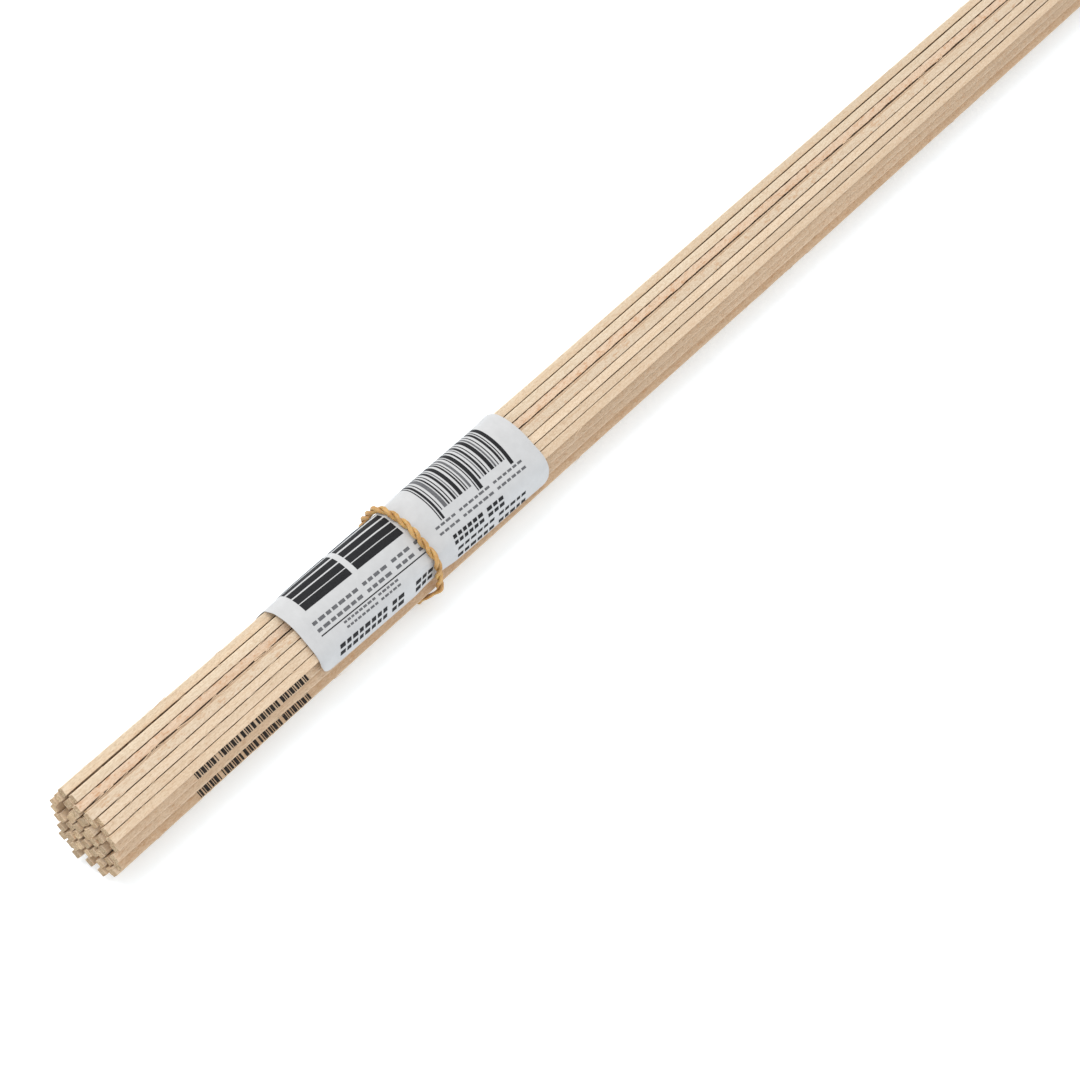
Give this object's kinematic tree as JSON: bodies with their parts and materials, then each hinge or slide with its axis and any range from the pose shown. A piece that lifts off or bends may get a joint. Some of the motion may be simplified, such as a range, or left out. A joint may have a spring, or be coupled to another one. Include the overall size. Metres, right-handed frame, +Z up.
{
  "type": "bundle of wood strips",
  "caption": "Rounded bundle of thin square basswood strips, held by rubber bands, with a plain-marked paper label wrapped round one end.",
  "frame": {"origin": "under the middle of the bundle, on the surface that it lies on", "axes": "+X along the strips from the labelled end to the far end, +Z up, +Y across the bundle"},
  "size_m": [0.613, 0.0174, 0.0187],
  "materials": {
    "basswood": "raw, sawn and lightly sanded",
    "label_paper": "smooth coated paper",
    "band_rubber": "natural tan rubber, slightly glossy"
  },
  "bodies": {
    "root": {"strip_pair_back": "basswood", "strip_pair_flank": "basswood", "strip_pair_shoulder": "basswood", "strip_row1_no1": "basswood", "strip_row1_no2": "basswood", "strip_row1_no3": "basswood", "strip_row1_no4": "basswood", "strip_row4_no1": "basswood", "paper_label": "label_paper"},
    "rubber_band_near": {"rubber_band_near": "band_rubber"},
    "rubber_band_far": {"rubber_band_far": "band_rubber"},
    "loose_row2_no2": {"strip_row2_no2": "basswood"},
    "loose_row2_no3": {"strip_row2_no3": "basswood"},
    "loose_row2_no4": {"strip_row2_no4": "basswood"},
    "loose_row2_no5": {"strip_row2_no5": "basswood"},
    "loose_row2_no6": {"strip_row2_no6": "basswood"},
    "loose_row3_no2": {"strip_row3_no2": "basswood"},
    "loose_row3_no3": {"strip_row3_no3": "basswood"},
    "loose_row3_no4": {"strip_row3_no4": "basswood"},
    "loose_row3_no5": {"strip_row3_no5": "basswood"},
    "loose_row3_no6": {"strip_row3_no6": "basswood"},
    "loose_row3_no7": {"strip_row3_no7": "basswood"},
    "loose_row4_no2": {"strip_row4_no2": "basswood"},
    "loose_row4_no3": {"strip_row4_no3": "basswood"},
    "loose_row4_no4": {"strip_row4_no4": "basswood"},
    "loose_row4_no5": {"strip_row4_no5": "basswood"},
    "loose_row4_no6": {"strip_row4_no6": "basswood"},
    "loose_row4_no7": {"strip_row4_no7": "basswood"},
    "loose_row4_no8": {"strip_row4_no8": "basswood"},
    "loose_row4_no9": {"strip_row4_no9": "basswood"},
    "loose_row5_no2": {"strip_row5_no2": "basswood"},
    "loose_row5_no3": {"strip_row5_no3": "basswood"},
    "loose_row5_no4": {"strip_row5_no4": "basswood"},
    "loose_row5_no5": {"strip_row5_no5": "basswood"},
    "loose_row5_no6": {"strip_row5_no6": "basswood"},
    "loose_row5_no7": {"strip_row5_no7": "basswood"},
    "loose_row5_no8": {"strip_row5_no8": "basswood"},
    "loose_row5_no9": {"strip_row5_no9": "basswood"},
    "loose_row6_no2": {"strip_row6_no2": "basswood"},
    "loose_row6_no3": {"strip_row6_no3": "basswood"},
    "loose_row6_no4": {"strip_row6_no4": "basswood"},
    "loose_row6_no5": {"strip_row6_no5": "basswood"},
    "loose_row6_no6": {"strip_row6_no6": "basswood"},
    "loose_row6_no7": {"strip_row6_no7": "basswood"},
    "loose_row6_no8": {"strip_row6_no8": "basswood"},
    "loose_row7_no1": {"strip_row7_no1": "basswood"},
    "loose_row7_no2": {"strip_row7_no2": "basswood"},
    "loose_row7_no3": {"strip_row7_no3": "basswood"},
    "loose_row7_no4": {"strip_row7_no4": "basswood"},
    "loose_row7_no5": {"strip_row7_no5": "basswood"},
    "loose_row7_no6": {"strip_row7_no6": "basswood"},
    "loose_row7_no7": {"strip_row7_no7": "basswood"},
    "loose_row8_no1": {"strip_row8_no1": "basswood"},
    "loose_row8_no2": {"strip_row8_no2": "basswood"},
    "loose_row8_no3": {"strip_row8_no3": "basswood"},
    "loose_row8_no4": {"strip_row8_no4": "basswood"},
    "loose_row8_no5": {"strip_row8_no5": "basswood"},
    "loose_row9_no1": {"strip_row9_no1": "basswood"},
    "loose_row9_no2": {"strip_row9_no2": "basswood"},
    "loose_row9_no3": {"strip_row9_no3": "basswood"}
  },
  "joints": [
    {"name": "roll_off_near_band", "type": "slide", "parent": "root", "child": "rubber_band_near", "axis": [-1, 0, 0], "range_m": [0, 0.066]},
    {"name": "roll_off_far_band", "type": "slide", "parent": "root", "child": "rubber_band_far", "axis": [1, 0, 0], "range_m": [0, 0.066]},
    {"name": "draw_row2_no2", "type": "slide", "parent": "root", "child": "loose_row2_no2", "axis": [-1, 0, 0], "range_m": [0, 0.53]},
    {"name": "draw_row2_no3", "type": "slide", "parent": "root", "child": "loose_row2_no3", "axis": [-1, 0, 0], "range_m": [0, 0.53]},
    {"name": "draw_row2_no4", "type": "slide", "parent": "root", "child": "loose_row2_no4", "axis": [-1, 0, 0], "range_m": [0, 0.53]},
    {"name": "draw_row2_no5", "type": "slide", "parent": "root", "child": "loose_row2_no5", "axis": [-1, 0, 0], "range_m": [0, 0.53]},
    {"name": "draw_row2_no6", "type": "slide", "parent": "root", "child": "loose_row2_no6", "axis": [-1, 0, 0], "range_m": [0, 0.53]},
    {"name": "draw_row3_no2", "type": "slide", "parent": "root", "child": "loose_row3_no2", "axis": [-1, 0, 0], "range_m": [0, 0.53]},
    {"name": "draw_row3_no3", "type": "slide", "parent": "root", "child": "loose_row3_no3", "axis": [-1, 0, 0], "range_m": [0, 0.53]},
    {"name": "draw_row3_no4", "type": "slide", "parent": "root", "child": "loose_row3_no4", "axis": [-1, 0, 0], "range_m": [0, 0.53]},
    {"name": "draw_row3_no5", "type": "slide", "parent": "root", "child": "loose_row3_no5", "axis": [-1, 0, 0], "range_m": [0, 0.53]},
    {"name": "draw_row3_no6", "type": "slide", "parent": "root", "child": "loose_row3_no6", "axis": [-1, 0, 0], "range_m": [0, 0.53]},
    {"name": "draw_row3_no7", "type": "slide", "parent": "root", "child": "loose_row3_no7", "axis": [-1, 0, 0], "range_m": [0, 0.53]},
    {"name": "draw_row4_no2", "type": "slide", "parent": "root", "child": "loose_row4_no2", "axis": [-1, 0, 0], "range_m": [0, 0.53]},
    {"name": "draw_row4_no3", "type": "slide", "parent": "root", "child": "loose_row4_no3", "axis": [-1, 0, 0], "range_m": [0, 0.53]},
    {"name": "draw_row4_no4", "type": "slide", "parent": "root", "child": "loose_row4_no4", "axis": [-1, 0, 0], "range_m": [0, 0.53]},
    {"name": "draw_row4_no5", "type": "slide", "parent": "root", "child": "loose_row4_no5", "axis": [-1, 0, 0], "range_m": [0, 0.53]},
    {"name": "draw_row4_no6", "type": "slide", "parent": "root", "child": "loose_row4_no6", "axis": [-1, 0, 0], "range_m": [0, 0.53]},
    {"name": "draw_row4_no7", "type": "slide", "parent": "root", "child": "loose_row4_no7", "axis": [-1, 0, 0], "range_m": [0, 0.53]},
    {"name": "draw_row4_no8", "type": "slide", "parent": "root", "child": "loose_row4_no8", "axis": [-1, 0, 0], "range_m": [0, 0.53]},
    {"name": "draw_row4_no9", "type": "slide", "parent": "root", "child": "loose_row4_no9", "axis": [-1, 0, 0], "range_m": [0, 0.53]},
    {"name": "draw_row5_no2", "type": "slide", "parent": "root", "child": "loose_row5_no2", "axis": [-1, 0, 0], "range_m": [0, 0.53]},
    {"name": "draw_row5_no3", "type": "slide", "parent": "root", "child": "loose_row5_no3", "axis": [-1, 0, 0], "range_m": [0, 0.53]},
    {"name": "draw_row5_no4", "type": "slide", "parent": "root", "child": "loose_row5_no4", "axis": [-1, 0, 0], "range_m": [0, 0.53]},
    {"name": "draw_row5_no5", "type": "slide", "parent": "root", "child": "loose_row5_no5", "axis": [-1, 0, 0], "range_m": [0, 0.53]},
    {"name": "draw_row5_no6", "type": "slide", "parent": "root", "child": "loose_row5_no6", "axis": [-1, 0, 0], "range_m": [0, 0.53]},
    {"name": "draw_row5_no7", "type": "slide", "parent": "root", "child": "loose_row5_no7", "axis": [-1, 0, 0], "range_m": [0, 0.53]},
    {"name": "draw_row5_no8", "type": "slide", "parent": "root", "child": "loose_row5_no8", "axis": [-1, 0, 0], "range_m": [0, 0.53]},
    {"name": "draw_row5_no9", "type": "slide", "parent": "root", "child": "loose_row5_no9", "axis": [-1, 0, 0], "range_m": [0, 0.53]},
    {"name": "draw_row6_no2", "type": "slide", "parent": "root", "child": "loose_row6_no2", "axis": [-1, 0, 0], "range_m": [0, 0.53]},
    {"name": "draw_row6_no3", "type": "slide", "parent": "root", "child": "loose_row6_no3", "axis": [-1, 0, 0], "range_m": [0, 0.53]},
    {"name": "draw_row6_no4", "type": "slide", "parent": "root", "child": "loose_row6_no4", "axis": [-1, 0, 0], "range_m": [0, 0.53]},
    {"name": "draw_row6_no5", "type": "slide", "parent": "root", "child": "loose_row6_no5", "axis": [-1, 0, 0], "range_m": [0, 0.53]},
    {"name": "draw_row6_no6", "type": "slide", "parent": "root", "child": "loose_row6_no6", "axis": [-1, 0, 0], "range_m": [0, 0.53]},
    {"name": "draw_row6_no7", "type": "slide", "parent": "root", "child": "loose_row6_no7", "axis": [-1, 0, 0], "range_m": [0, 0.53]},
    {"name": "draw_row6_no8", "type": "slide", "parent": "root", "child": "loose_row6_no8", "axis": [-1, 0, 0], "range_m": [0, 0.53]},
    {"name": "draw_row7_no1", "type": "slide", "parent": "root", "child": "loose_row7_no1", "axis": [-1, 0, 0], "range_m": [0, 0.53]},
    {"name": "draw_row7_no2", "type": "slide", "parent": "root", "child": "loose_row7_no2", "axis": [-1, 0, 0], "range_m": [0, 0.53]},
    {"name": "draw_row7_no3", "type": "slide", "parent": "root", "child": "loose_row7_no3", "axis": [-1, 0, 0], "range_m": [0, 0.53]},
    {"name": "draw_row7_no4", "type": "slide", "parent": "root", "child": "loose_row7_no4", "axis": [-1, 0, 0], "range_m": [0, 0.53]},
    {"name": "draw_row7_no5", "type": "slide", "parent": "root", "child": "loose_row7_no5", "axis": [-1, 0, 0], "range_m": [0, 0.53]},
    {"name": "draw_row7_no6", "type": "slide", "parent": "root", "child": "loose_row7_no6", "axis": [-1, 0, 0], "range_m": [0, 0.53]},
    {"name": "draw_row7_no7", "type": "slide", "parent": "root", "child": "loose_row7_no7", "axis": [-1, 0, 0], "range_m": [0, 0.53]},
    {"name": "draw_row8_no1", "type": "slide", "parent": "root", "child": "loose_row8_no1", "axis": [-1, 0, 0], "range_m": [0, 0.53]},
    {"name": "draw_row8_no2", "type": "slide", "parent": "root", "child": "loose_row8_no2", "axis": [-1, 0, 0], "range_m": [0, 0.53]},
    {"name": "draw_row8_no3", "type": "slide", "parent": "root", "child": "loose_row8_no3", "axis": [-1, 0, 0], "range_m": [0, 0.53]},
    {"name": "draw_row8_no4", "type": "slide", "parent": "root", "child": "loose_row8_no4", "axis": [-1, 0, 0], "range_m": [0, 0.53]},
    {"name": "draw_row8_no5", "type": "slide", "parent": "root", "child": "loose_row8_no5", "axis": [-1, 0, 0], "range_m": [0, 0.53]},
    {"name": "draw_row9_no1", "type": "slide", "parent": "root", "child": "loose_row9_no1", "axis": [-1, 0, 0], "range_m": [0, 0.53]},
    {"name": "draw_row9_no2", "type": "slide", "parent": "root", "child": "loose_row9_no2", "axis": [-1, 0, 0], "range_m": [0, 0.53]},
    {"name": "draw_row9_no3", "type": "slide", "parent": "root", "child": "loose_row9_no3", "axis": [-1, 0, 0], "range_m": [0, 0.53]}
  ]
}
